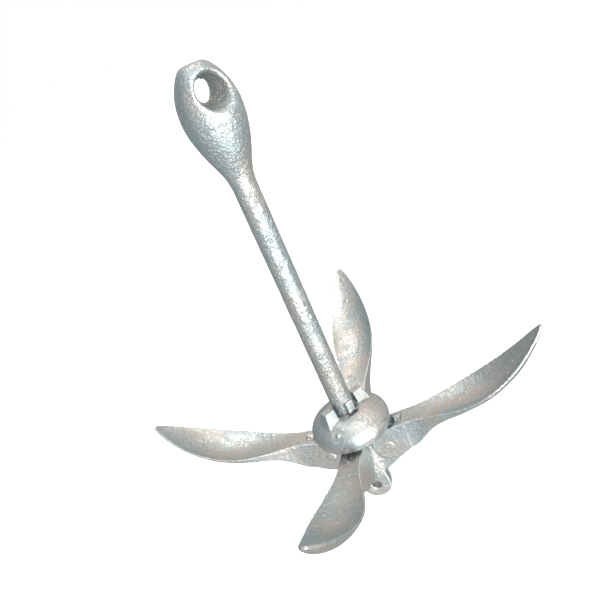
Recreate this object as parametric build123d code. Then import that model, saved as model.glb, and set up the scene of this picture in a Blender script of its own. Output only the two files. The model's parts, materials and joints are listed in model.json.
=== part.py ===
from build123d import *
import os
from math import atan, cos, degrees, radians, sin, tan

# Folding grapnel anchor, four flukes, hot-dip galvanised castings.
# Frame: +Z along the shank towards the shackle eye, X and Y through the flukes,
# the origin on the axis of the tripping eye. Millimetres and degrees.
# Every piece is modelled about the pivot level and lifted to the frame at the end.

# ---- shank and shackle eye ----
shank_d = 14.4          # round shank
travel = 150.0          # of the collar along the shank, from the crown to the head
neck_gap = 3.1          # from the raised collar's ears to where the shank starts to swell
head_h = 69.0           # pear-shaped head, from there to its top
head_d = 34.6           # widest part of the head
head_top_d = 10.4       # its flat top
head_widest_h = 45.5    # height of that part over the neck
eye_h = 55.0            # axis of the shackle eye over the neck
eye_throat_d = 12.4     # straight part of the eye
eye_throat_l = 5.0
eye_mouth_d = 20.4      # rim of the funnel on each side
key_w = 5.6             # locking key cast on each side of the shank
key_h = 8.4
key_out = 2.5
key_gap = 0.8           # between the key and the collar's land
eye_turn = -45.0        # eye and keys face halfway between two flukes

# ---- crown ----
rivet_d = 6.0
peen_over = 0.9         # peened end beyond the rivet's radius
peen_dome = 0.6         # its flat top inside that radius
cheek_r = 11.2          # round end of each fluke's fork
root_gap = 1.8          # between the fork's round end and the shank
web_t = 5.4             # crown web inside each fork
web_outer = 11.5        # web beyond the pivot axis
web_low_z = -9.6        # foot of the web's outer end
web_slope = 35.0        # underside of the web
lug_drop = 34.8         # tripping eye below the pivots
lug_r = 10.2
lug_t = 8.0             # the plate lies in line with two of the webs
lug_hole_d = 6.4
lug_shoulder_z = -12.0  # where the lug starts to widen

# ---- flukes ----
arm_w = 14.4            # width over the two cheeks
root_top = 13.2         # top of the fork over the pivot axis
root_len = 14.4         # fork and block, from the pivot axis to the blade
blade_len = 95.0        # blade, measured along the ground
blade_climb = 44.0      # rise of the blade's rim from root to tip
root_climb = 2.9        # rise of the rim from the pivot axis to the blade's start
blade_w = 31.4          # widest part of the blade
recess_len = 12.4       # shallow recess over the slot, from the pivot axis
recess_deep = 0.9
fold_deg = 62.0         # from the common open angle to folded along the shank
open_lift = (0.0, 7.0, -4.5, -1.0)   # where each loose casting rests, up from the common open angle

# ---- collar ----
collar_d = 53.0         # widest part of the bell
collar_h = 15.8         # rim to land
collar_wall = 3.6
land_r = 10.8           # flat land round the shank
ear_w = 11.0            # grip ear, at its foot
ear_t = 10.0
ear_top_w = 6.0         # and at its top
ear_top_t = 7.4
ear_h = 7.0             # above the land
ear_sunk = 3.0          # foot below the land
ear_lean = 1.3          # top nearer to the shank than the foot

# ---- fits ----
slot_clear = 0.35       # each side of a web in its slot
bore_clear = 0.4        # collar bore round the shank, and notches round the keys
seat_gap = 0.35         # collar rim above the highest arm
stop_gap = 0.4          # fork's slot end to the web, open and folded
pin_clear = 0.05        # rivet in the web
rivet_proud = 0.4       # peened end beyond the cheek

shank_r = shank_d / 2
pivot_r = max(shank_r, arm_w / 2) + root_gap + cheek_r
pivot_z = lug_drop
lug_root_z = -lug_drop + lug_r
web_reach = pivot_r + web_outer
top_slope = atan(root_climb / root_len)
highest = radians(max(open_lift))
full_swing = radians(fold_deg - min(open_lift))
seat_x = collar_d / 2 - pivot_r + root_top * sin(highest)
rim_z = root_top * cos(highest) + seat_x * tan(top_slope + highest) + seat_gap
land_z = rim_z + collar_h
neck_z = land_z + ear_h + travel + neck_gap
head_top_z = neck_z + head_h
head_widest_z = neck_z + head_widest_h
eye_z = neck_z + eye_h

# Blade stations: share of the blade's length, share of its widest half width,
# side wall, depth of the dish and thickness on the centre line.
stations = (
    (0.000, 0.459, 21.0, 0.15, 20.9),
    (0.090, 0.490, 16.4, 0.40, 17.2),
    (0.175, 0.590, 9.6, 1.10, 11.6),
    (0.310, 0.790, 5.0, 2.60, 6.4),
    (0.450, 0.960, 3.1, 4.20, 4.8),
    (0.585, 1.000, 2.3, 4.90, 4.3),
    (0.700, 0.915, 2.0, 4.30, 4.1),
    (0.800, 0.765, 1.9, 3.20, 3.9),
    (0.885, 0.560, 1.8, 1.90, 3.5),
    (0.955, 0.320, 1.7, 0.80, 2.8),
    (1.000, 0.090, 1.5, 0.10, 1.7),
)


def rim_height(share):
    """Height of the blade's rim over the pivot axis."""
    return root_top + root_climb + blade_climb * (0.265 * share + 0.735 * share**3)


def rim_slope(share):
    """Slope of the rim in degrees."""
    return degrees(atan(blade_climb * (0.265 + 2.205 * share**2) / blade_len))


def blade_section(share, width_share, side, dish, thick):
    """Crescent section of the blade, square to its rim."""
    half = arm_w / 2 if share == 0 else blade_w / 2 * width_share
    tilt = rim_slope(share) * min(1.0, share / 0.3)
    belly = side - dish - thick
    plane = Plane(
        origin=(root_len + blade_len * share, 0, rim_height(share)),
        x_dir=(0, 1, 0),
        z_dir=(cos(radians(tilt)), 0, sin(radians(tilt))),
    )
    with BuildSketch(plane) as section:
        with BuildLine():
            ThreePointArc((-half, 0), (0, -dish), (half, 0))
            Line((half, 0), (half * 0.97, -side))
            ThreePointArc((half * 0.97, -side), (0, belly - side), (-half * 0.97, -side))
            Line((-half * 0.97, -side), (-half, 0))
        make_face()
    return section.sketch.face()


def fluke_root():
    """Fork and block of a fluke, with its round end on the pivot axis."""
    foot = root_top + root_climb - stations[0][2]
    shoulder = (-0.75 * cheek_r, 0.78 * cheek_r)
    swell = (0.62 * cheek_r, -0.84 * cheek_r)
    with BuildPart() as root:
        with BuildSketch(Plane.XZ):
            with BuildLine():
                Line((root_len, foot), (root_len, root_top + root_climb))
                Line((root_len, root_top + root_climb), (0, root_top))
                ThreePointArc((0, root_top), shoulder, (-cheek_r, 0))
                RadiusArc((-cheek_r, 0), (0, -cheek_r), -cheek_r)
                Spline((0, -cheek_r), swell, (root_len, foot), tangents=((1, 0), (1, 0.6)))
            make_face()
        extrude(amount=arm_w / 2, both=True)
    return root.part


def slot_x_at(height):
    """Where the slot's upper end is at a height: it clears the top of the web when folded."""
    return (web_outer + stop_gap - height * cos(full_swing)) / sin(full_swing)


def fluke():
    """One fluke about its own pivot axis, pointing along +X, open."""
    blade = loft([blade_section(*station) for station in stations])
    body = fluke_root() + blade
    slot_x = web_outer + stop_gap - web_low_z * sin(radians(-min(open_lift)))
    bend_z = (web_outer + stop_gap - slot_x * sin(full_swing)) / cos(full_swing)
    far = 2 * cheek_r
    with BuildPart() as slot:
        with BuildSketch(Plane.XZ):
            Polygon((-far, -far), (slot_x, -far), (slot_x, bend_z), (slot_x_at(far), far), (-far, far), align=None)
            Polygon(
                (0, root_top - recess_deep),
                (recess_len, root_top - recess_deep + recess_len * tan(top_slope)),
                (recess_len, far),
                (0, far),
                align=None,
            )
        extrude(amount=web_t / 2 + slot_clear, both=True)
    hole = Rot(90, 0, 0) * Cylinder(rivet_d / 2, 2 * arm_w)
    return body - slot.part - hole


def rivet():
    """Pivot rivet with peened ends, about its own axis."""
    half = arm_w / 2
    upward = (Align.CENTER, Align.CENTER, Align.MIN)
    with BuildPart() as pin:
        Cylinder(rivet_d / 2, 2 * half)
        for side, flip in ((1, 0), (-1, 180)):
            with Locations(Location((0, 0, side * half), (flip, 0, 0))):
                Cone(rivet_d / 2 + peen_over, rivet_d / 2 - peen_dome, rivet_proud, align=upward)
    return Rot(90, 0, 0) * pin.part


def crown_web():
    """One web of the crown, along +X, carrying a pivot."""
    fall = tan(radians(web_slope))
    with BuildPart() as web:
        with BuildSketch(Plane.XZ):
            with BuildLine():
                Line((0, web_outer), (pivot_r, web_outer))
                RadiusArc((pivot_r, web_outer), (web_reach, 0), web_outer)
                Line((web_reach, 0), (web_reach, web_low_z))
                Line((web_reach, web_low_z), (0, web_low_z - web_reach * fall))
                Line((0, web_low_z - web_reach * fall), (0, web_outer))
            make_face()
        extrude(amount=web_t / 2, both=True)
        with Locations(Location((pivot_r, 0, 0), (90, 0, 0))):
            Cylinder(rivet_d / 2 + pin_clear, 2 * web_t, mode=Mode.SUBTRACT)
    return web.part


def tripping_lug():
    """Rounded plate for the tripping eye, in line with the webs along X."""
    with BuildPart() as lug:
        with BuildSketch(Plane.XZ):
            with BuildLine():
                Line((-shank_r, lug_shoulder_z), (shank_r, lug_shoulder_z))
                Line((shank_r, lug_shoulder_z), (lug_r, -lug_drop + 0.35 * lug_r))
                Line((lug_r, -lug_drop + 0.35 * lug_r), (lug_r, -lug_drop))
                ThreePointArc((lug_r, -lug_drop), (0, -lug_drop - lug_r), (-lug_r, -lug_drop))
                Line((-lug_r, -lug_drop), (-lug_r, -lug_drop + 0.35 * lug_r))
                Line((-lug_r, -lug_drop + 0.35 * lug_r), (-shank_r, lug_shoulder_z))
            make_face()
        extrude(amount=lug_t / 2, both=True)
    return lug.part


def locking_keys():
    """Two keys on the shank just above the lowered collar, along +X and -X before they are turned."""
    out = 2 * (shank_r + key_out)
    return Pos(0, 0, land_z + key_gap + key_h / 2) * Box(out, key_w, key_h)


def shank_spindle():
    """Round shank with the pear-shaped head."""
    core_foot = lug_root_z + 2.0
    rise = head_widest_z - neck_z
    fall = head_top_z - head_widest_z
    with BuildPart() as spindle:
        with BuildSketch(Plane.XZ):
            with BuildLine():
                Line((0, core_foot), (lug_t / 2, core_foot))
                Line((lug_t / 2, core_foot), (shank_r, lug_shoulder_z))
                Line((shank_r, lug_shoulder_z), (shank_r, neck_z))
                Spline(
                    (shank_r, neck_z),
                    (shank_r + 0.52 * (head_d / 2 - shank_r), neck_z + 0.44 * rise),
                    (head_d / 2, head_widest_z),
                    (head_top_d / 2 + 0.47 * (head_d - head_top_d) / 2, head_top_z - 0.19 * fall),
                    (head_top_d / 2, head_top_z),
                    tangents=((0, 1), (-1, 0.12)),
                )
                Line((head_top_d / 2, head_top_z), (0, head_top_z))
                Line((0, head_top_z), (0, core_foot))
            make_face()
        revolve(axis=Axis.Z)
    return spindle.part


def shackle_eye():
    """The eye as a solid to cut: a straight throat and a funnel to each side, along +X."""
    mouth = 0.75 * head_d / 2
    throat = eye_throat_l / 2
    spread = (eye_mouth_d - eye_throat_d) / 2 / (mouth - throat)
    reach = head_d
    with BuildPart() as cut:
        with BuildSketch(Plane.XZ):
            Polygon(
                (-reach, 0),
                (-reach, eye_throat_d / 2 + spread * (reach - throat)),
                (-throat, eye_throat_d / 2),
                (throat, eye_throat_d / 2),
                (reach, eye_throat_d / 2 + spread * (reach - throat)),
                (reach, 0),
                align=None,
            )
        revolve(axis=Axis.X)
    return Pos(0, 0, eye_z) * cut.part


def shank_casting():
    """The shank casting: spindle, eye, keys, crown webs and tripping eye."""
    body = shank_spindle() - Rot(0, 0, eye_turn) * shackle_eye()
    body += Rot(0, 0, eye_turn) * locking_keys()
    body += tripping_lug()
    for turn in range(0, 360, 90):
        body += Rot(0, 0, turn) * crown_web()
    return body - Pos(0, 0, -lug_drop) * Rot(90, 0, 0) * Cylinder(lug_hole_d / 2, 4 * lug_r)


def shank_pieces():
    """The shank casting as three solids that meet face to face."""
    casting = shank_casting()
    levels = (-2 * lug_drop, lug_root_z, neck_z, 2 * head_top_z)
    names = ("tripping_lug", "shank", "shank_head")
    pieces = {}
    for name, low, high in zip(names, levels, levels[1:]):
        slab = Pos(0, 0, (low + high) / 2) * Box(4 * pivot_r, 4 * pivot_r, high - low)
        pieces[name] = casting & slab
    return pieces


def collar():
    """Bell-shaped locking collar with two ears, in its lowered place."""
    outer_r = collar_d / 2
    bore_r = shank_r + bore_clear
    with BuildPart() as bell:
        with BuildSketch(Plane.XZ):
            with BuildLine():
                Line((bore_r, land_z), (land_r, land_z))
                Spline(
                    (land_r, land_z),
                    (0.5 * (land_r + outer_r) + 1.6, rim_z + 0.80 * collar_h),
                    (outer_r, rim_z + 0.26 * collar_h),
                    tangents=((1, -0.1), (0, -1)),
                )
                Line((outer_r, rim_z + 0.26 * collar_h), (outer_r - 0.6, rim_z))
                Line((outer_r - 0.6, rim_z), (outer_r - collar_wall, rim_z))
                Spline(
                    (outer_r - collar_wall, rim_z),
                    (0.5 * (land_r + outer_r) - 0.6, rim_z + 0.80 * collar_h - collar_wall),
                    (bore_r, land_z - 1.3 * collar_wall),
                    tangents=((0, 1), (-1, 0.1)),
                )
                Line((bore_r, land_z - 1.3 * collar_wall), (bore_r, land_z))
            make_face()
        revolve(axis=Axis.Z)
    body = bell.part
    ear_r = max(land_r + outer_r - ear_t, 2 * bore_r + ear_t) / 2   # clear of the bore in a narrow bell
    for side in (90, -90):
        foot = Plane((ear_r, 0, land_z - ear_sunk)) * Rectangle(ear_t, ear_w)
        top = Plane((ear_r - ear_lean, 0, land_z + ear_h)) * Rectangle(ear_top_t, ear_top_w)
        body += Rot(0, 0, eye_turn + side) * loft([foot, top])
    notch = Box(2 * (shank_r + key_out + bore_clear), key_w + 2 * bore_clear, 4 * collar_h)
    return body - Rot(0, 0, eye_turn) * Pos(0, 0, land_z) * notch


def save(shape, name):
    """Lift a piece from the pivot level to the frame and write it."""
    piece = Pos(0, 0, pivot_z) * shape
    solids = piece.solids()
    if len(solids) != 1:
        raise ValueError(f"{name} has {len(solids)} solids")
    export_step(solids[0], f"parts/{name}.step")


def main():
    """Build every piece and write one STEP file for each."""
    os.makedirs("parts", exist_ok=True)
    for name, solid in shank_pieces().items():
        save(solid, name)
    save(collar(), "collar")
    blade = fluke()
    pin = rivet()
    for index, lift in enumerate(open_lift):
        at_pivot = Rot(0, 0, 90 * index) * Pos(pivot_r, 0, 0) * Rot(0, -lift, 0)
        save(at_pivot * blade, f"fluke_{index + 1}")
        save(at_pivot * pin, f"rivet_{index + 1}")


if __name__ == "__main__":
    main()
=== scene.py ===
"""Looks of a folding grapnel anchor, hot-dip galvanised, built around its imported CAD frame.

Each casting is taken from its CAD solids, softened as a sand casting is, roughened by the
skin of the mould and coated with lumps and drips of zinc. Sizes are in millimetres.
"""
import json
import logging
import math
from dataclasses import dataclass
from enum import Enum

import bmesh
import bpy
import numpy as np
from mathutils import Matrix, Vector, noise


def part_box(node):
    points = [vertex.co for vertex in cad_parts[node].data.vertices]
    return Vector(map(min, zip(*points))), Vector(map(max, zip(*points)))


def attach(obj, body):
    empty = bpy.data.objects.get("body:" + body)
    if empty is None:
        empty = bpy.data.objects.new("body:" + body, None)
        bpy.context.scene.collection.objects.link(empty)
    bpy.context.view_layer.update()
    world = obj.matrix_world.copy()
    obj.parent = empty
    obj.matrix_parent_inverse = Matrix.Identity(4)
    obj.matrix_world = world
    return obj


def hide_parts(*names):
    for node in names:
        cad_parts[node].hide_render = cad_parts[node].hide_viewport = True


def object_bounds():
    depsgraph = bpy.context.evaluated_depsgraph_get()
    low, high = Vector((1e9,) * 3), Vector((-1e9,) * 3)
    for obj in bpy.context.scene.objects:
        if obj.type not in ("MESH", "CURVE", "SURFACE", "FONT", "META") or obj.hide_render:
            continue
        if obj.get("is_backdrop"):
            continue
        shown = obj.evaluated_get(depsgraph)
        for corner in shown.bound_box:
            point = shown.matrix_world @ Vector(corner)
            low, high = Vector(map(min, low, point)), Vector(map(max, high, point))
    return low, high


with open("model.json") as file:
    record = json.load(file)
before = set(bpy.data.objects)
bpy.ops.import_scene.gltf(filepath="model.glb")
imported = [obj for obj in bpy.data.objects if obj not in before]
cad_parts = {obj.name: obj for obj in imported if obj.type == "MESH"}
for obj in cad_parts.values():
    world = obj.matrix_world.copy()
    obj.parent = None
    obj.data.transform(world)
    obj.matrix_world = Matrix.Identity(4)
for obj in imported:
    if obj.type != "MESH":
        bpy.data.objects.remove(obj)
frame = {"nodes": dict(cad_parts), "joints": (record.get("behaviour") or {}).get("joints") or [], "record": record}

MM = 0.001
SEED_WAY = np.array((1.0, 2.3, -1.7))    # way that a seed shifts a random relief
WAVE_ROUGHNESS = 0.9                     # how fast the finer layers of a relief fade
WAVE_STEP = 2.1                          # how much finer each layer is than the last
FREE = 0.99                              # share of relief over which a surface counts as free
log = logging.getLogger("anchor")


class Slot(Enum):
    """Material slots of the record."""

    CASTING = "galvanised_iron"
    RIVET = "galvanised_rivet"


class Layer(float, Enum):
    """Shift of a relief layer's seed, so that no two layers of a piece line up."""

    SAND = 0.0
    SEAM = 2.0
    CLOT = 3.0
    FLASH = 4.0
    SKIN = 5.0
    SCAB = 9.0


class Fade(Enum):
    """How the ends of a range are joined."""

    SOFT = "SMOOTHSTEP"
    EVEN = "LINEAR"


@dataclass(frozen=True)
class Band:
    """Part of a pattern's range, and the shares that its two ends become."""

    low: float
    high: float
    at_low: float = 0.0
    at_high: float = 1.0

    def over(self, base: float) -> "Band":
        """The same band, with its shares added to a base."""
        return Band(self.low, self.high, base + self.at_low, base + self.at_high)

    def inputs(self, value: bpy.types.NodeSocket) -> dict[str, object]:
        """Inputs of a range node that turns a value into this band's shares.

        Args:
            value: Value to turn.

        Returns:
            Input names and what goes into them.
        """
        return {"Value": value, "From Min": self.low, "From Max": self.high,
                "To Min": self.at_low, "To Max": self.at_high}


@dataclass(frozen=True)
class Cloud:
    """A cloudy pattern of one size."""

    size_mm: float
    detail: float          # octaves
    stir: float = 0.0      # how far it is distorted


def linear(hex_colour: str) -> tuple[float, float, float, float]:
    """Turn an sRGB hex colour into linear values.

    Args:
        hex_colour: Colour such as "#B4BCBE".

    Returns:
        Linear red, green, blue and an alpha of one.
    """
    parts = [int(hex_colour[i:i + 2], 16) / 255 for i in (1, 3, 5)]
    red, green, blue = (p / 12.92 if p <= 0.04045 else ((p + 0.055) / 1.055) ** 2.4 for p in parts)
    return red, green, blue, 1.0


def per_metre(size_mm: float) -> float:
    """Scale of a texture whose features are this many millimetres across."""
    return 1.0 / (size_mm * MM)


def direction(azimuth: float, elevation: float) -> Vector:
    """Unit direction out from the anchor.

    Args:
        azimuth: Degrees round the anchor, 0 in front and 90 to the right.
        elevation: Degrees above level.

    Returns:
        The direction.
    """
    turn, tilt = math.radians(azimuth), math.radians(elevation)
    return Vector((math.sin(turn) * math.cos(tilt), -math.cos(turn) * math.cos(tilt), math.sin(tilt)))


def foot_of(node: str) -> float:
    """Height of a CAD node's lowest point, in millimetres."""
    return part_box(node)[0].z / MM


def add(tree: bpy.types.NodeTree, kind: str, links: dict | None = None,
        **settings: object) -> bpy.types.Node:
    """Add a node with its settings and links.

    Args:
        tree: Node tree that gets the node.
        kind: Node type, such as "ShaderNodeTexNoise".
        links: Input name or number to a value, or to the socket that feeds it.
        settings: Properties of the node itself.

    Returns:
        The new node.
    """
    node = tree.nodes.new(kind)
    for name, value in settings.items():
        setattr(node, name, value)
    for key, value in (links or {}).items():
        if isinstance(value, bpy.types.NodeSocket):
            tree.links.new(value, node.inputs[key])
        else:
            node.inputs[key].default_value = value
    return node


@dataclass(frozen=True)
class HotDipZinc:
    """Hot-dip galvanised iron: a thick, matt to satin coat of zinc that froze on a rough casting.

    The eye reads it as pale grey metal that is bright where it faces the light, cool and
    warm in wide soft areas and frosted with fine crystals. Its colour carries a painted
    highlight along edges and painted light in corners, lifting the shade that falls there.
    """

    name: str = "hot_dip_zinc_frosted"
    cool: str = "#AEBABD"
    warm: str = "#BDBBB7"
    dull: str = "#838B8E"
    # bright zinc of the frost, also the colour of the painted light in corners and the painted highlight on edges
    bright: str = "#E2E5E5"
    tint: Cloud = Cloud(26.0, 2.0, 0.4)      # soft areas of cooler and warmer zinc
    clouds: Cloud = Cloud(7.0, 5.0, 1.2)     # clouds of duller zinc
    frost: Cloud = Cloud(2.6, 3.0, 1.6)      # crystals are 0.3 to 1 mm, drawn coarser to show
    grain: Cloud = Cloud(1.2, 2.0)           # mould sand is 0.2 mm, drawn coarser to show
    runs: Cloud = Cloud(5.0, 4.0)            # fine folds that the zinc left as it ran off
    gaps: Cloud = Cloud(10.0, 2.0)           # where the folds are broken
    fold_middle: float = 0.5                 # a fold lies where the runs have this value
    fold_width: float = 0.03
    fold_gaps: Band = Band(0.45, 0.55)
    roughness: float = 0.38
    metallic: float = 0.94
    frost_depth_mm: float = 0.55
    grain_depth_mm: float = 0.22
    fold_depth_mm: float = 0.20
    warm_areas: Band = Band(0.38, 0.62)
    dull_clouds: Band = Band(0.50, 0.72, 0.0, 0.22)
    bright_frost: Band = Band(0.52, 0.70, 0.0, 0.45)
    dull_folds: Band = Band(0.0, 0.8, 0.30, 0.0)
    # painted light: corners made brighter to lift the shade that falls in them
    painted_corner_light: Band = Band(0.15, 0.8, 0.0, 0.35)
    # painted highlight along convex edges
    painted_edge_highlight: Band = Band(0.2, 0.9, 0.0, 0.75)
    cloud_matt: Band = Band(0.35, 0.70, -0.05, 0.10)    # roughness that the clouds add
    frost_gloss: Band = Band(0.45, 0.70, 0.0, 0.07)     # roughness that the frost takes away

    def build(self) -> bpy.types.Material:
        """Make the material.

        Returns:
            A node material that reads the piece's own coordinates and its edge and corner marks.
        """
        material = bpy.data.materials.new(self.name)
        material.use_nodes = True
        tree = material.node_tree
        tree.nodes.clear()
        patterns = self.patterns(tree)
        shader = add(tree, "ShaderNodeBsdfPrincipled", {
            "Base Color": self.colour(tree, patterns),
            "Roughness": self.shine(tree, patterns),
            "Normal": self.relief(tree, patterns),
            "Metallic": self.metallic,
        })
        add(tree, "ShaderNodeOutputMaterial", {"Surface": shader.outputs["BSDF"]})
        return material

    def patterns(self, tree: bpy.types.NodeTree) -> dict[str, bpy.types.NodeSocket]:
        """Make the patterns that the colour, the shine and the relief share.

        Args:
            tree: The material's node tree.

        Returns:
            Value sockets by name: the clouds of each size, the marks "corner" and "edge", and
            "folds", which is 0 in a fold and 1 elsewhere.
        """
        place = add(tree, "ShaderNodeTexCoord").outputs["Object"]
        made = {}
        for name in ("tint", "clouds", "frost", "grain", "runs", "gaps"):
            cloud = getattr(self, name)
            made[name] = add(tree, "ShaderNodeTexNoise", {
                "Vector": place, "Scale": per_metre(cloud.size_mm),
                "Detail": cloud.detail, "Distortion": cloud.stir,
            }).outputs["Fac"]
        for mark in ("corner", "edge"):
            made[mark] = add(tree, "ShaderNodeAttribute", attribute_name=mark).outputs["Fac"]
        made["folds"] = self.folds(tree, made["runs"], made["gaps"])
        return made

    def folds(self, tree: bpy.types.NodeTree, runs: bpy.types.NodeSocket,
              gaps: bpy.types.NodeSocket) -> bpy.types.NodeSocket:
        """Thin broken folds of zinc, along the middle value of the runs.

        Args:
            tree: The material's node tree.
            runs: Pattern that the folds follow.
            gaps: Pattern that breaks them.

        Returns:
            Value socket, 0 in a fold and 1 elsewhere.
        """
        middle, width = self.fold_middle, self.fold_width
        sides = (
            (runs, Band(middle, middle + width)),
            (runs, Band(middle, middle - width)),
            (gaps, self.fold_gaps),
        )
        plain = 0.0
        for pattern, band in sides:
            share = add(tree, "ShaderNodeMapRange", band.inputs(pattern),
                        interpolation_type=Fade.SOFT.value)
            plain = add(tree, "ShaderNodeMath", {0: plain, 1: share.outputs["Result"]},
                        operation="MAXIMUM").outputs[0]
        return plain

    def colour(self, tree: bpy.types.NodeTree,
               patterns: dict[str, bpy.types.NodeSocket]) -> bpy.types.NodeSocket:
        """Cool and warm zinc, clouded, with painted light in corners and a painted highlight on edges.

        Args:
            tree: The material's node tree.
            patterns: Its patterns.

        Returns:
            Base colour socket.
        """
        layers = (
            ("tint", self.warm_areas, self.warm),
            ("clouds", self.dull_clouds, self.dull),
            ("frost", self.bright_frost, self.bright),
            ("folds", self.dull_folds, self.dull),
            # painted light in corners
            ("corner", self.painted_corner_light, self.bright),
            # painted highlight on edges
            ("edge", self.painted_edge_highlight, self.bright),
        )
        body = linear(self.cool)
        for name, band, colour in layers:
            share = add(tree, "ShaderNodeMapRange", band.inputs(patterns[name]),
                        interpolation_type=Fade.SOFT.value)
            body = add(tree, "ShaderNodeMix", {0: share.outputs["Result"], 6: body, 7: linear(colour)},
                       data_type="RGBA").outputs[2]
        return body

    def shine(self, tree: bpy.types.NodeTree,
              patterns: dict[str, bpy.types.NodeSocket]) -> bpy.types.NodeSocket:
        """Roughness: clouded zinc is duller and frost is brighter.

        Args:
            tree: The material's node tree.
            patterns: Its patterns.

        Returns:
            Roughness socket.
        """
        base, less = (
            add(tree, "ShaderNodeMapRange", band.inputs(patterns[name]),
                interpolation_type=Fade.SOFT.value).outputs["Result"]
            for name, band in (("clouds", self.cloud_matt.over(self.roughness)),
                               ("frost", self.frost_gloss))
        )
        return add(tree, "ShaderNodeMath", {0: base, 1: less}, operation="SUBTRACT").outputs[0]

    def relief(self, tree: bpy.types.NodeTree,
               patterns: dict[str, bpy.types.NodeSocket]) -> bpy.types.NodeSocket:
        """Fine relief: frost, then grain, then folds. A layer with no depth is left out.

        Args:
            tree: The material's node tree.
            patterns: Its patterns.

        Returns:
            Normal socket.
        """
        depths = {"frost": self.frost_depth_mm, "grain": self.grain_depth_mm,
                  "folds": self.fold_depth_mm}
        links = {}
        for name, depth in depths.items():
            if depth:
                links |= {"Height": patterns[name], "Distance": depth * MM, "Strength": 1.0}
                links = {"Normal": add(tree, "ShaderNodeBump", links).outputs["Normal"]}
        return links["Normal"]


@dataclass(frozen=True)
class Pimple:
    """A small lump of zinc on a piece's surface."""

    at_mm: tuple[float, float, float]
    radius_mm: float = 1.2
    height_mm: float = 0.5

    def lift(self, points: np.ndarray) -> np.ndarray:
        """Height that the lump adds at each point, in millimetres.

        Args:
            points: Points in millimetres.

        Returns:
            One height for each point.
        """
        away = np.linalg.norm(points - np.array(self.at_mm), axis=1) / self.radius_mm
        return self.height_mm * np.exp(-(away ** 4))


def waves(points: np.ndarray, size_mm: float, seed: float, octaves: int = 2) -> np.ndarray:
    """Smooth random relief, about -1 to 1.

    Args:
        points: Points in millimetres.
        size_mm: Width of the relief's features.
        seed: Shift that makes each piece different.
        octaves: Finer layers.

    Returns:
        One value for each point.
    """
    places = (points / size_mm + seed * SEED_WAY).tolist()
    return np.array([noise.fractal(place, WAVE_ROUGHNESS, WAVE_STEP, octaves) for place in places])


def smooth_step(value: np.ndarray, low: float, high: float) -> np.ndarray:
    """Soft step from 0 at low to 1 at high.

    Args:
        value: Values.
        low: Where the step starts.
        high: Where it ends.

    Returns:
        One share for each value.
    """
    share = ((value - low) / (high - low)).clip(0, 1)
    return share * share * (3 - 2 * share)


def edge_ends(mesh: bpy.types.Mesh) -> tuple[np.ndarray, np.ndarray, np.ndarray]:
    """Read how a mesh's corners hang together.

    Args:
        mesh: Mesh to read.

    Returns:
        First and second corner of each edge, and the number of edges at each corner.
    """
    pairs = np.empty(2 * len(mesh.edges), np.int32)
    mesh.edges.foreach_get("vertices", pairs)
    first, second = pairs.reshape(-1, 2).T
    return first, second, np.bincount(pairs, minlength=len(mesh.vertices)).clip(1)


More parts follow.
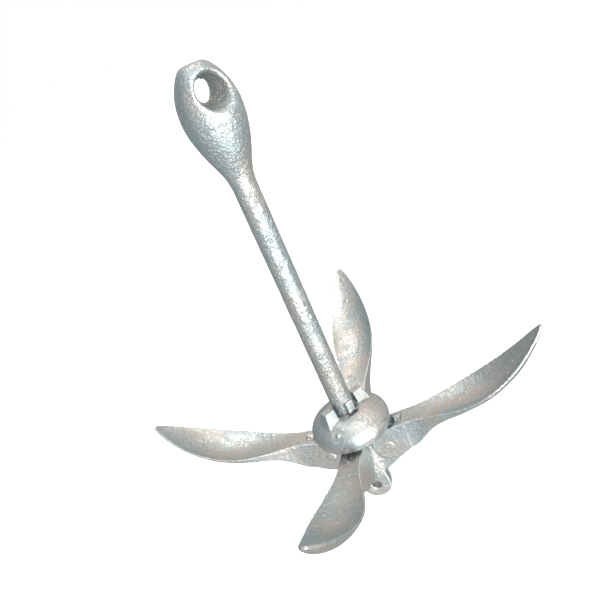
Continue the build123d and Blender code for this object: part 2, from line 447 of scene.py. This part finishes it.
@dataclass
class ZincCasting:
    """A casting made from CAD nodes, softened and coated."""

    name: str
    body: str
    nodes: tuple[str, ...]
    slot: Slot = Slot.CASTING
    seed: float = 1.0
    weld_mm: float = 0.002      # corners nearer than this are one
    voxel_mm: float = 0.6
    soft_passes: int = 5
    soft_share: float = 0.5     # of the way to the neighbours' middle in each pass
    round_passes: int = 0       # more softening, where the piece asks for it
    round_share: float = 0.6
    sand_mm: float = 0.11       # height of the casting's long waves
    sand_wide: float = 9.0
    skin_mm: float = 0.07       # height of the zinc's ripples
    skin_wide: float = 2.6
    lumps: int = 14
    lump_mm: float = 0.28
    lump_radii: tuple[float, float] = (0.5, 1.3)
    lump_heights: tuple[float, float] = (0.4, 1.0)    # shares of lump_mm
    edge_bend: float = 0.22     # bend that is marked as a full edge
    corner_bend: float = 0.16   # and as a full corner
    blur_passes: int = 2

    def build(self, material: bpy.types.Material) -> bpy.types.Object:
        """Make the piece and put it on its body.

        Args:
            material: Its finish.

        Returns:
            The finished object.
        """
        piece = self.fused()
        self.soften(piece.data)
        points, normals = self.surface(piece.data)
        lift = self.relief(points, normals)
        piece.data.vertices.foreach_set("co", ((points + normals * lift[:, None]) * MM).ravel())
        self.mark_edges(piece.data)
        piece.data.shade_smooth()
        piece.data.materials.clear()
        piece.data.materials.append(material)
        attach(piece, self.body)
        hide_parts(*self.nodes)
        log.info("%s: %d faces on body %s", piece.name, len(piece.data.polygons), self.body)
        return piece

    def fused(self) -> bpy.types.Object:
        """Join the CAD nodes into one closed skin with soft edges.

        Returns:
            A new object with an even mesh.
        """
        mesh = bpy.data.meshes.new(self.name)
        joined = bmesh.new()
        for node in self.nodes:
            joined.from_mesh(frame["nodes"][node].data)
        bmesh.ops.remove_doubles(joined, verts=joined.verts, dist=self.weld_mm * MM)
        joined.to_mesh(mesh)
        joined.free()
        piece = bpy.data.objects.new(self.name, mesh)
        shape = bpy.data.objects.new(f"{self.name}_shape", mesh)
        for thing in (piece, shape):
            bpy.context.scene.collection.objects.link(thing)
        skin = piece.modifiers.new("skin", "REMESH")
        skin.mode = "VOXEL"
        skin.voxel_size = self.voxel_mm * MM
        wrap = piece.modifiers.new("wrap", "SHRINKWRAP")
        wrap.target = shape
        soft = piece.modifiers.new("soft", "SMOOTH")
        soft.factor = self.soft_share
        soft.iterations = self.soft_passes
        graph = bpy.context.evaluated_depsgraph_get()
        made = bpy.data.meshes.new_from_object(piece.evaluated_get(graph))
        piece.modifiers.clear()
        piece.data = made
        bpy.data.objects.remove(shape)
        made.name = self.name
        self.keep_outer_skin(made)
        return piece

    def keep_outer_skin(self, mesh: bpy.types.Mesh) -> None:
        """Drop any loose inner skin, keeping the island with the most corners.

        Args:
            mesh: Mesh to clean.
        """
        first, second, _ = edge_ends(mesh)
        label = np.arange(len(mesh.vertices))
        while True:
            low = np.minimum(label[first], label[second])
            spread = label.copy()
            np.minimum.at(spread, first, low)
            np.minimum.at(spread, second, low)
            spread = spread[spread]
            if np.array_equal(spread, label):
                break
            label = spread
        loose = np.flatnonzero(label != np.bincount(label).argmax())
        if len(loose):
            work = bmesh.new()
            work.from_mesh(mesh)
            work.verts.ensure_lookup_table()
            bmesh.ops.delete(work, geom=[work.verts[i] for i in loose], context="VERTS")
            work.to_mesh(mesh)
            work.free()
            log.info("%s: dropped %d inner corners", self.name, len(loose))

    def soften(self, mesh: bpy.types.Mesh) -> None:
        """Round the parts of the surface that the piece wants rounder.

        Args:
            mesh: Mesh to change.
        """
        points, _ = self.surface(mesh)
        share = self.roundness(points)[:, None]
        first, second, ways = edge_ends(mesh)
        for _ in range(self.round_passes):
            total = np.column_stack([
                np.bincount(first, points[second, axis], len(points))
                + np.bincount(second, points[first, axis], len(points))
                for axis in range(3)
            ])
            points += self.round_share * share * (total / ways[:, None] - points)
        mesh.vertices.foreach_set("co", (points * MM).ravel())
        mesh.update()

    def roundness(self, points: np.ndarray) -> np.ndarray:
        """Share of the extra softening, none unless a piece has its own."""
        return np.zeros(len(points))

    def surface(self, mesh: bpy.types.Mesh) -> tuple[np.ndarray, np.ndarray]:
        """Read a mesh's corners.

        Args:
            mesh: Mesh to read.

        Returns:
            Points in millimetres and unit normals.
        """
        points = np.empty(3 * len(mesh.vertices), np.float32)
        normals = np.empty(3 * len(mesh.vertices), np.float32)
        mesh.vertices.foreach_get("co", points)
        mesh.vertex_normals.foreach_get("vector", normals)
        return points.reshape(-1, 3).astype(float) / MM, normals.reshape(-1, 3).astype(float)

    def relief(self, points: np.ndarray, normals: np.ndarray) -> np.ndarray:
        """Height to add along each normal, in millimetres.

        Args:
            points: Points in millimetres.
            normals: Unit normals.

        Returns:
            One height for each point.
        """
        lift = self.sand_mm * waves(points, self.sand_wide, self.seed + Layer.SAND)
        lift += self.skin_mm * waves(points, self.skin_wide, self.seed + Layer.SKIN, octaves=3)
        lift *= self.freedom(points)
        for pimple in self.pimples(points):
            lift += pimple.lift(points)
        return lift + self.details(points, normals)

    def freedom(self, points: np.ndarray) -> np.ndarray:
        """Share of the relief that the fits leave room for, one for each point."""
        return np.ones(len(points))

    def details(self, points: np.ndarray, normals: np.ndarray) -> np.ndarray:
        """Relief of this piece alone, none unless a piece has its own."""
        return np.zeros(len(points))

    def pimples(self, points: np.ndarray) -> list[Pimple]:
        """Seeded lumps of zinc scattered over the free surface.

        Args:
            points: Points in millimetres.

        Returns:
            The lumps.
        """
        draw = np.random.default_rng(int(100 * self.seed))
        free = points[self.freedom(points) > FREE]
        picked = free[draw.integers(0, len(free), self.lumps)]
        sizes = draw.uniform(*self.lump_radii, self.lumps)
        heights = draw.uniform(*self.lump_heights, self.lumps) * self.lump_mm
        return [Pimple(tuple(p), r, h) for p, r, h in zip(picked, sizes, heights)]

    def mark_edges(self, mesh: bpy.types.Mesh) -> None:
        """Store how sharp an edge or a corner each point lies on, for the finish to read; the finish paints a
        highlight on edges and light in corners.

        Args:
            mesh: Mesh that gets the marks "edge" and "corner", 0 to 1.
        """
        points, normals = self.surface(mesh)
        first, second, ways = edge_ends(mesh)
        bend = np.zeros(len(points))
        along = np.einsum("ij,ij->i", points[second] - points[first], normals[first])
        back = np.einsum("ij,ij->i", points[first] - points[second], normals[second])
        np.add.at(bend, first, along)
        np.add.at(bend, second, back)
        bend /= ways * self.voxel_mm
        for _ in range(self.blur_passes):
            total = np.zeros(len(points))
            np.add.at(total, first, bend[second])
            np.add.at(total, second, bend[first])
            bend = 0.5 * bend + 0.5 * total / ways
        for mark, value in (("edge", -bend / self.edge_bend), ("corner", bend / self.corner_bend)):
            layer = mesh.attributes.new(mark, "FLOAT", "POINT")
            layer.data.foreach_set("value", value.clip(0, 1).astype(np.float32))


@dataclass
class ShankCasting(ZincCasting):
    """Shank with its pear-shaped head, locking keys, crown webs and tripping eye."""

    name: str = "shank_casting"
    body: str = "shank"
    nodes: tuple[str, ...] = ("shank", "shank_head", "tripping_lug")
    seed: float = 3.0
    lumps: int = 30
    round_passes: int = 45
    crown_room: float = 20.0    # over the collar's rim, up to where the flukes swing
    crown_freedom: float = 0.35
    eye_turn: float = -45.0     # direction that the shackle eye faces
    rim_out: float = 9.0        # from the shackle eye's middle to where its funnel's rim starts
    rim_fade: tuple[float, float] = (-3.0, 1.0)
    rim_up: float = 15.0        # over the head's foot
    crown_r: float = 12.0       # part of the crown that is rounder between its webs
    crown_low: float = 9.0
    crown_high: float = 6.0     # below the collar's rim
    crown_share: float = 0.8
    scab_low: float = 95.0      # rough cast strip, below the head's foot
    scab_high: float = 12.0
    scab_fade: float = 4.0
    scab_front: tuple[float, float] = (1.5, 3.5)      # from the shank's axis
    scab_side: tuple[float, float] = (4.6, 5.6)
    scab_wide: float = 3.4
    scab_gaps: tuple[float, float] = (0.05, 0.35)
    scab_mm: float = 0.26
    seam_low: float = 90.0      # parting line, over the crown's foot
    seam_out: float = 5.0
    seam_wide: float = 0.5
    seam_change: float = 7.0    # length over which it swells and fades
    seam_mean: float = 0.6
    seam_swing: float = 0.8
    seam_mm: float = 0.14
    flash_r: float = 7.0        # fin left in the throat of the eye
    flash_wide: float = 0.6
    flash_change: float = 3.0
    flash_gaps: tuple[float, float] = (-0.1, 0.3)
    flash_mm: float = 0.55

    def towards_eye(self, points: np.ndarray) -> tuple[np.ndarray, np.ndarray]:
        """Each point's distance towards the shackle eye's face, and to its side.

        Args:
            points: Points in millimetres.

        Returns:
            Both distances from the shank's axis.
        """
        turn = math.radians(self.eye_turn)
        facing = points[:, 0] * math.cos(turn) + points[:, 1] * math.sin(turn)
        aside = points[:, 1] * math.cos(turn) - points[:, 0] * math.sin(turn)
        return facing, aside

    def freedom(self, points: np.ndarray) -> np.ndarray:
        """Share of the relief left: little on the crown webs, where the flukes swing.

        Args:
            points: Points in millimetres.

        Returns:
            One share for each point.
        """
        in_crown = points[:, 2] < foot_of("collar") + self.crown_room
        return np.where(in_crown, self.crown_freedom, 1.0)

    def roundness(self, points: np.ndarray) -> np.ndarray:
        """Share of the softening: all of it on the shackle eye's rims, some between the webs.

        Args:
            points: Points in millimetres.

        Returns:
            One share for each point.
        """
        facing, _ = self.towards_eye(points)
        height = points[:, 2]
        rims = smooth_step(np.abs(facing), *(self.rim_out + fade for fade in self.rim_fade))
        rims *= height > foot_of("shank_head") + self.rim_up
        crown = np.hypot(points[:, 0], points[:, 1]) < self.crown_r
        crown &= (height > self.crown_low) & (height < foot_of("collar") - self.crown_high)
        return rims + self.crown_share * crown

    def details(self, points: np.ndarray, normals: np.ndarray) -> np.ndarray:
        """Rough cast strip, parting line and the fin in the eye's throat.

        Args:
            points: Points in millimetres.
            normals: Unit normals, not used.

        Returns:
            One height for each point.
        """
        facing, aside = self.towards_eye(points)
        return (self.scab(points, facing, aside) + self.seam(points, facing, aside)
                + self.flash(points, facing, aside))

    def scab(self, points: np.ndarray, facing: np.ndarray, aside: np.ndarray) -> np.ndarray:
        """Rough cast strip on the side of the shank.

        Args:
            points: Points in millimetres.
            facing: Their distances towards the shackle eye's face.
            aside: Their distances to its side.

        Returns:
            One height for each point.
        """
        height, neck = points[:, 2], foot_of("shank_head")
        low, high = neck - self.scab_low, neck - self.scab_high
        strip = smooth_step(height, low, low + self.scab_fade)
        strip *= 1 - smooth_step(height, high, high + self.scab_fade)
        strip *= smooth_step(facing, *self.scab_front)
        strip *= 1 - smooth_step(np.abs(aside), *self.scab_side)
        rough = waves(points, self.scab_wide, self.seed + Layer.SCAB, octaves=3)
        return self.scab_mm * strip * smooth_step(rough, *self.scab_gaps)

    def seam(self, points: np.ndarray, facing: np.ndarray, aside: np.ndarray) -> np.ndarray:
        """Parting line along both sides of the shank and the head.

        Args:
            points: Points in millimetres.
            facing: Their distances towards the shackle eye's face.
            aside: Their distances to its side.

        Returns:
            One height for each point.
        """
        line = np.exp(-(facing / self.seam_wide) ** 2) * (np.abs(aside) > self.seam_out)
        line *= points[:, 2] > foot_of("shank") + self.seam_low
        change = waves(points, self.seam_change, self.seed + Layer.SEAM, octaves=1)
        return self.seam_mm * line * (self.seam_mean + self.seam_swing * change)

    def flash(self, points: np.ndarray, facing: np.ndarray, aside: np.ndarray) -> np.ndarray:
        """Broken fin round the throat of the shackle eye.

        Args:
            points: Points in millimetres.
            facing: Their distances towards the shackle eye's face.
            aside: Their distances to its side.

        Returns:
            One height for each point.
        """
        mounts = frame["record"]["mounts"]
        eye = next(m for m in mounts if m["name"] == "shackle_eye")["pos_m"][2] / MM
        fin = np.exp(-(facing / self.flash_wide) ** 2)
        fin *= np.hypot(aside, points[:, 2] - eye) < self.flash_r
        broken = waves(points, self.flash_change, self.seed + Layer.FLASH)
        return self.flash_mm * fin * smooth_step(broken, *self.flash_gaps)


@dataclass
class Collar(ZincCasting):
    """Bell-shaped locking collar with its two grip ears."""

    name: str = "locking_collar"
    body: str = "collar"
    nodes: tuple[str, ...] = ("collar",)
    seed: float = 7.0
    voxel_mm: float = 0.5
    lumps: int = 8
    bore_room: float = 9.0
    rim_room: float = 1.5
    fit_freedom: float = 0.25
    boss: Pimple = Pimple((-4.0, -21.3, 62.7), 1.2, 0.8)
    dent: Pimple = Pimple((-4.0, -21.3, 62.7), 4.2, -0.25)

    def freedom(self, points: np.ndarray) -> np.ndarray:
        """Share of the relief left: little in the bore and on the rim.

        Args:
            points: Points in millimetres.

        Returns:
            One share for each point.
        """
        near_bore = np.hypot(points[:, 0], points[:, 1]) < self.bore_room
        near_rim = points[:, 2] < foot_of("collar") + self.rim_room
        return np.where(near_bore | near_rim, self.fit_freedom, 1.0)

    def pimples(self, points: np.ndarray) -> list[Pimple]:
        """Scattered lumps, and the boss that marks the collar's front.

        Args:
            points: Points in millimetres.

        Returns:
            The lumps.
        """
        return super().pimples(points) + [self.boss, self.dent]


@dataclass
class Fluke(ZincCasting):
    """One fluke: forked root and dished blade."""

    voxel_mm: float = 0.5
    soft_passes: int = 6
    lumps: int = 22
    fork_freedom: float = 0.25
    fork_reach: float = 16.0    # from the pivot to where the relief grows
    fork_fade: float = 8.0
    recess_from: float = 27.0   # from the shank's axis
    recess_to: float = 33.0
    recess_half: float = 2.8
    recess_facing: float = 0.8  # least upward part of the surface's direction
    clot_wide: float = 1.6
    clot_mm: float = 0.5

    def freedom(self, points: np.ndarray) -> np.ndarray:
        """Share of the relief left: little round the pivot.

        Args:
            points: Points in millimetres.

        Returns:
            One share for each point.
        """
        joint = next(j for j in frame["joints"] if j.get("child") == self.body)
        away = np.linalg.norm(points - np.array(joint["pos_m"]) / MM, axis=1)
        free = smooth_step(away, self.fork_reach, self.fork_reach + self.fork_fade)
        return self.fork_freedom + (1 - self.fork_freedom) * free

    def details(self, points: np.ndarray, normals: np.ndarray) -> np.ndarray:
        """Lumpy zinc that lies in the recess over the fork.

        Args:
            points: Points in millimetres.
            normals: Unit normals.

        Returns:
            One height for each point.
        """
        across = np.minimum(np.abs(points[:, 0]), np.abs(points[:, 1]))
        out = np.hypot(points[:, 0], points[:, 1])
        floor = (out > self.recess_from) & (out < self.recess_to)
        floor &= (across < self.recess_half) & (normals[:, 2] > self.recess_facing)
        return self.clot_mm * floor * waves(points, self.clot_wide, self.seed + Layer.CLOT)


@dataclass
class Rivet(ZincCasting):
    """Peened pivot rivet, nearly drowned in zinc."""

    slot: Slot = Slot.RIVET
    voxel_mm: float = 0.3
    soft_passes: int = 2
    sand_mm: float = 0.02
    skin_mm: float = 0.02
    lumps: int = 1
    lump_mm: float = 0.1


@dataclass
class View:
    """Camera, looking down at the anchor with its shank leaning to the left."""

    aim_mm: tuple[float, float, float] = (-12.7, 42.9, 130.0)
    distance_mm: float = 439.4
    azimuth: float = 19.24
    elevation: float = 25.14
    roll: float = 24.0
    lens: float = 39.18

    def axes(self) -> tuple[Vector, Vector, Vector]:
        """Right, up and backward directions of the camera.

        Returns:
            Three unit vectors.
        """
        back = direction(self.azimuth, self.elevation)
        level = direction(self.azimuth + 90.0, 0.0)
        rise = back.cross(level)
        lean = math.radians(self.roll)
        right = level * math.cos(lean) - rise * math.sin(lean)
        return right, back.cross(right), back

    def build(self) -> bpy.types.Object:
        """Make the camera and use it.

        Returns:
            The camera object.
        """
        right, up, back = self.axes()
        data = bpy.data.cameras.new("view")
        data.lens = self.lens
        camera = bpy.data.objects.new("view", data)
        place = Matrix((right, up, back)).transposed().to_4x4()
        place.translation = (Vector(self.aim_mm) + back * self.distance_mm) * MM
        camera.matrix_world = place
        bpy.context.scene.collection.objects.link(camera)
        bpy.context.scene.camera = camera
        return camera


@dataclass(frozen=True)
class Patch:
    """A bright or dark patch of the room, as the zinc mirrors it."""

    azimuth: float          # degrees round the anchor, 0 in front and 90 to the right
    elevation: float
    core: float             # degrees from its middle that are fully lit
    reach: float            # degrees from its middle where it has faded out
    strength: float
    colour: str = "#FFFFFF"


@dataclass
class Studio:
    """Pale floor, a soft box and the grey room that the zinc reflects."""

    floor_radius: float = 6.0    # metres
    floor_segments: int = 96
    floor: str = "#F6F6F5"
    floor_roughness: float = 0.9
    floor_glow: float = 0.75
    room_low: str = "#D3D4D2"
    room_level: str = "#DDE1E2"
    room_high: str = "#EDE9E5"
    room_stops: tuple[float, float, float] = (0.15, 0.5, 0.85)    # from straight down to straight up
    room_strength: float = 0.92
    box_place: tuple[float, float, float] = (42.0, 0.55, 0.45)    # azimuth, metres away and up
    box_aim: float = 0.15        # metres over the origin
    box_side: float = 0.30       # metres
    box_power: float = 2.0       # watts
    patches: tuple[Patch, ...] = (
        Patch(-98.0, 10.0, 18.0, 58.0, 0.50, "#D6EBF3"),      # dark left wall
        Patch(-161.0, -34.0, 12.0, 50.0, 0.30, "#E2EEF2"),    # dark low backdrop
        Patch(140.0, -60.0, 15.0, 45.0, 0.55, "#FFF6EA"),     # warm ground at the right
        Patch(-160.0, 44.0, 10.0, 30.0, 0.92, "#FFEADB"),     # warm wall behind
        Patch(42.0, 38.0, 12.0, 36.0, 2.0),                   # upper half of the window in front
        Patch(30.0, -10.0, 26.0, 47.0, 3.4),                  # its lower half
        Patch(175.0, 80.0, 9.0, 27.0, 3.6, "#FFF3EA"),        # skylight
    )

    def build(self) -> None:
        """Make the floor, the room and the soft box."""
        self.lay_floor()
        self.paint_room()
        self.hang_box()
        bpy.context.scene.view_settings.view_transform = "Standard"

    def lay_floor(self) -> None:
        """Lay a plain pale disc under the anchor, which metal doesn't mirror."""
        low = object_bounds()[0].z
        made = bmesh.new()
        bmesh.ops.create_circle(made, cap_ends=True, segments=self.floor_segments,
                                radius=self.floor_radius)
        bmesh.ops.translate(made, verts=made.verts, vec=(0.0, 0.0, low))
        mesh = bpy.data.meshes.new("studio_floor")
        made.to_mesh(mesh)
        made.free()
        material = bpy.data.materials.new("painted_studio_floor")
        material.use_nodes = True
        shader = material.node_tree.nodes["Principled BSDF"]
        shader.inputs["Base Color"].default_value = linear(self.floor)
        shader.inputs["Roughness"].default_value = self.floor_roughness
        shader.inputs["Emission Color"].default_value = linear(self.floor)
        shader.inputs["Emission Strength"].default_value = self.floor_glow
        mesh.materials.append(material)
        disc = bpy.data.objects.new("studio_floor", mesh)
        disc.visible_glossy = False
        bpy.context.scene.collection.objects.link(disc)
        disc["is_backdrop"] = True

    def paint_room(self) -> None:
        """Paint the room: lighter above, with bright and dark patches, and white to the eye."""
        world = bpy.data.worlds.new("studio_room")
        bpy.context.scene.world = world
        world.use_nodes = True
        tree = world.node_tree
        tree.nodes.clear()
        way = add(tree, "ShaderNodeTexCoord").outputs["Generated"]
        height = add(tree, "ShaderNodeSeparateXYZ", {"Vector": way}).outputs["Z"]
        level = add(tree, "ShaderNodeMapRange", Band(-1.0, 1.0).inputs(height),
                    interpolation_type=Fade.EVEN.value).outputs["Result"]
        ramp = add(tree, "ShaderNodeValToRGB", {"Fac": level})
        stops = ramp.color_ramp.elements
        stops.new(0.5)
        colours = (self.room_low, self.room_level, self.room_high)
        for stop, place, colour in zip(stops, self.room_stops, colours):
            stop.position = place
            stop.color = linear(colour)
        room = add(tree, "ShaderNodeVectorMath", {
            0: ramp.outputs["Color"], "Scale": self.room_strength,
        }, operation="SCALE").outputs[0]
        for patch in self.patches:
            room = self.lay_patch(tree, way, room, patch)
        lit = add(tree, "ShaderNodeBackground", {"Color": room, "Strength": 1.0})
        plain = add(tree, "ShaderNodeBackground", {"Color": linear("#FFFFFF"), "Strength": 1.0})
        seen = add(tree, "ShaderNodeLightPath").outputs["Is Camera Ray"]
        both = add(tree, "ShaderNodeMixShader", {0: seen, 1: lit.outputs[0], 2: plain.outputs[0]})
        add(tree, "ShaderNodeOutputWorld", {"Surface": both.outputs[0]})

    def lay_patch(self, tree: bpy.types.NodeTree, way: bpy.types.NodeSocket,
                  room: bpy.types.NodeSocket, patch: Patch) -> bpy.types.NodeSocket:
        """Lay a patch over the room.

        Args:
            tree: The room's node tree.
            way: Direction socket.
            room: Colour of the room so far.
            patch: What to lay over it.

        Returns:
            Colour socket with the patch.
        """
        middle = tuple(direction(patch.azimuth, patch.elevation))
        near = add(tree, "ShaderNodeVectorMath", {0: way, 1: middle}, operation="DOT_PRODUCT")
        low, high = (math.cos(math.radians(angle)) for angle in (patch.reach, patch.core))
        share = add(tree, "ShaderNodeMapRange", Band(low, high).inputs(near.outputs["Value"]),
                    interpolation_type=Fade.SOFT.value).outputs["Result"]
        colour = [part * patch.strength for part in linear(patch.colour)]
        return add(tree, "ShaderNodeMix", {0: share, 6: room, 7: colour}, data_type="RGBA").outputs[2]

    def hang_box(self) -> None:
        """Hang the soft box in front of the anchor and turn it to the anchor's middle."""
        azimuth, away, up = self.box_place
        place = direction(azimuth, 0.0) * away + Vector((0.0, 0.0, up))
        data = bpy.data.lights.new("front_box", "AREA")
        data.size = self.box_side
        data.energy = self.box_power
        lamp = bpy.data.objects.new("front_box", data)
        lamp.location = place
        lamp.visible_camera = False
        lamp.rotation_mode = "QUATERNION"
        aim = Vector((0.0, 0.0, self.box_aim))
        lamp.rotation_quaternion = (aim - place).to_track_quat("-Z", "Y")
        bpy.context.scene.collection.objects.link(lamp)


def main() -> None:
    """Build the anchor, piece by piece, in its studio."""
    logging.basicConfig(level=logging.INFO, format="%(name)s: %(message)s")
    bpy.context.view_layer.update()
    View().build()
    Studio().build()
    frosted = HotDipZinc().build()
    # Zinc that ran off smooth, so that the light slides along it.
    zinc = HotDipZinc(name="hot_dip_zinc_run_smooth", frost_depth_mm=0.20, grain_depth_mm=0.0,
                      fold_depth_mm=0.10).build()
    # Steel hammered over and then dipped: a little duller, with low frost.
    steel = HotDipZinc(name="galvanised_peened_steel", roughness=0.42, frost_depth_mm=0.05).build()
    ShankCasting().build(frosted)
    Collar().build(zinc)
    for number in range(1, 5):
        body = f"fluke_{number}"
        Fluke(f"{body}_casting", body, (body,), seed=10.0 + number).build(zinc)
        Rivet(f"rivet_{number}_peened", body, (f"rivet_{number}",), seed=20.0 + number).build(steel)
    bpy.context.view_layer.update()


if __name__ == "__main__":
    main()
